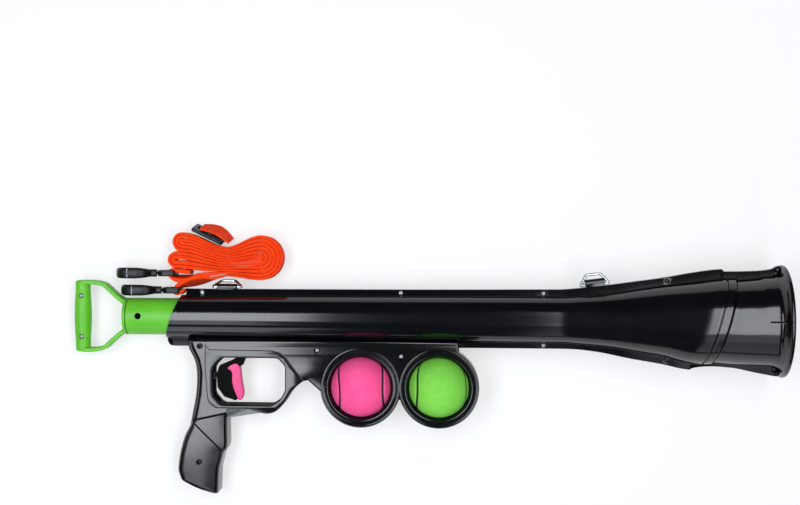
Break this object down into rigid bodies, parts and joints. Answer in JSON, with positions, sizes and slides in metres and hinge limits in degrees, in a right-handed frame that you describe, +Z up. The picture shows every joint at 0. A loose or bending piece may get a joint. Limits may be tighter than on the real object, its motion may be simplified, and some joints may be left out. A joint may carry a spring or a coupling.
{
  "type": "dog ball thrower",
  "caption": "Spring launcher that throws a ball for a dog: flared muzzle, pistol grip, rings that hold spare balls, pull handle, and a folded carrying strap with snap hooks.",
  "frame": {"origin": "on the floor under the middle of the launcher's box, as it lies on its left side", "axes": "+X towards the muzzle, +Y towards the launcher's top flange, +Z up, out of its right side"},
  "size_m": [0.742, 0.286, 0.116],
  "materials": {
    "black_gloss": "glossy moulded black",
    "black_matt": "satin moulded black",
    "green": "satin moulded green",
    "pink": "satin moulded pink",
    "steel": "bright zinc plated",
    "spring_steel": "oiled spring wire",
    "white_nylon": "natural nylon",
    "foam": "grey cushion foam",
    "pink_rubber": "felted pink ball",
    "green_rubber": "felted green ball",
    "orange_webbing": "woven orange webbing"
  },
  "bodies": {
    "launcher": {"shell_right": "black_gloss", "shell_left": "black_gloss", "barrel_screw_1": "steel", "barrel_screw_2": "steel", "barrel_screw_3": "steel", "barrel_screw_4": "steel", "bell_screw_top": "steel", "bell_screw_bottom": "steel", "muzzle_screw_top": "steel", "muzzle_screw_bottom": "steel", "frame_right": "black_gloss", "frame_left": "black_gloss", "frame_screw_1": "steel", "frame_screw_2": "steel", "frame_screw_3": "steel", "grip_screw": "steel", "spring_seat_collar": "white_nylon", "mainspring": "spring_steel", "trigger_pin": "steel", "sear_pin": "steel", "trigger_spring": "spring_steel", "sear_spring": "spring_steel"},
    "handle": {"draw_tube": "green", "tube_plug": "white_nylon", "tube_screw": "steel", "striker_rod": "steel", "striker_cup": "white_nylon", "striker_pad": "foam", "handle_yoke": "green", "handle_grip_near": "green", "handle_grip_far": "green", "handle_screw_top": "steel", "handle_screw_bottom": "steel"},
    "trigger": {"trigger_lever": "black_matt", "trigger_blade": "pink"},
    "sear": {"sear": "steel"},
    "front_ring": {"front_sling_ring": "steel"},
    "rear_ring": {"rear_sling_ring": "steel"},
    "rear_ball": {"pink_ball": "pink_rubber"},
    "front_ball": {"green_ball": "green_rubber"},
    "strap": {"strap_webbing": "orange_webbing", "strap_slider": "black_matt", "strap_loop": "orange_webbing", "snap_hook_1_eye": "black_matt", "snap_hook_2_eye": "black_matt"},
    "hook_1": {"snap_hook_1_swivel_pin": "steel", "snap_hook_1_body": "black_matt"},
    "hook_1_gate": {"snap_hook_1_gate": "steel"},
    "hook_2": {"snap_hook_2_swivel_pin": "steel", "snap_hook_2_body": "black_matt"},
    "hook_2_gate": {"snap_hook_2_gate": "steel"}
  },
  "joints": [
    {"name": "handle_draw", "type": "slide", "parent": "launcher", "child": "handle", "axis": [-0.9984, 0, -0.0557], "range_m": [0, 0.12], "stiffness_N_per_m": 400, "springref_m": -0.02, "deforming": ["mainspring"]},
    {"name": "trigger_pull", "type": "hinge", "parent": "launcher", "child": "trigger", "pos_m": [-0.19127, 0.02895, 0.02552], "axis": [0.0557, 0.0395, -0.9977], "range_deg": [0, 14], "stiffness_Nm_per_rad": 0.3, "springref_deg": -17.19, "deforming": ["trigger_spring"]},
    {"name": "sear_drop", "type": "hinge", "parent": "launcher", "child": "sear", "pos_m": [-0.16531, 0.02885, 0.02697], "axis": [-0.0557, -0.0395, 0.9977], "range_deg": [0, 8.4], "deforming": ["sear_spring"]},
    {"name": "front_ring_swing", "type": "hinge", "parent": "launcher", "child": "front_ring", "pos_m": [0.1749, 0.10121, 0.04881], "axis": [0.9905, 0.1235, 0.0601], "range_deg": [-70, 100]},
    {"name": "rear_ring_swing", "type": "hinge", "parent": "launcher", "child": "rear_ring", "pos_m": [-0.20869, 0.09599, 0.02721], "axis": [0.9984, 0, 0.0557], "range_deg": [-27, 8]},
    {"name": "rear_ball_out", "type": "slide", "parent": "launcher", "child": "rear_ball", "axis": [-0.0557, -0.0395, 0.9977], "range_m": [0, 0.07]},
    {"name": "front_ball_out", "type": "slide", "parent": "launcher", "child": "front_ball", "axis": [-0.0557, -0.0395, 0.9977], "range_m": [0, 0.07]},
    {"name": "strap_lift", "type": "slide", "parent": "launcher", "child": "strap", "axis": [0, 0, 1], "range_m": [0, 0.2]},
    {"name": "hook_1_swivel", "type": "hinge", "parent": "strap", "child": "hook_1", "pos_m": [-0.26623, 0.10992, 0.016], "axis": [1, 0, 0], "range_deg": [-25, 25]},
    {"name": "hook_1_gate_open", "type": "hinge", "parent": "hook_1", "child": "hook_1_gate", "pos_m": [-0.29229, 0.10992, 0.0095], "axis": [0, 1, 0], "range_deg": [0, 22], "stiffness_Nm_per_rad": 0.02, "springref_deg": -22.92},
    {"name": "hook_2_swivel", "type": "hinge", "parent": "strap", "child": "hook_2", "pos_m": [-0.26123, 0.09193, 0.016], "axis": [1, 0, 0], "range_deg": [-15, 15]},
    {"name": "hook_2_gate_open", "type": "hinge", "parent": "hook_2", "child": "hook_2_gate", "pos_m": [-0.28729, 0.09193, 0.0095], "axis": [0, 1, 0], "range_deg": [0, 22], "stiffness_Nm_per_rad": 0.02, "springref_deg": -22.92}
  ],
  "couplings": [
    {"joint": "sear_drop", "follows": "trigger_pull", "ratio": 0.6}
  ]
}
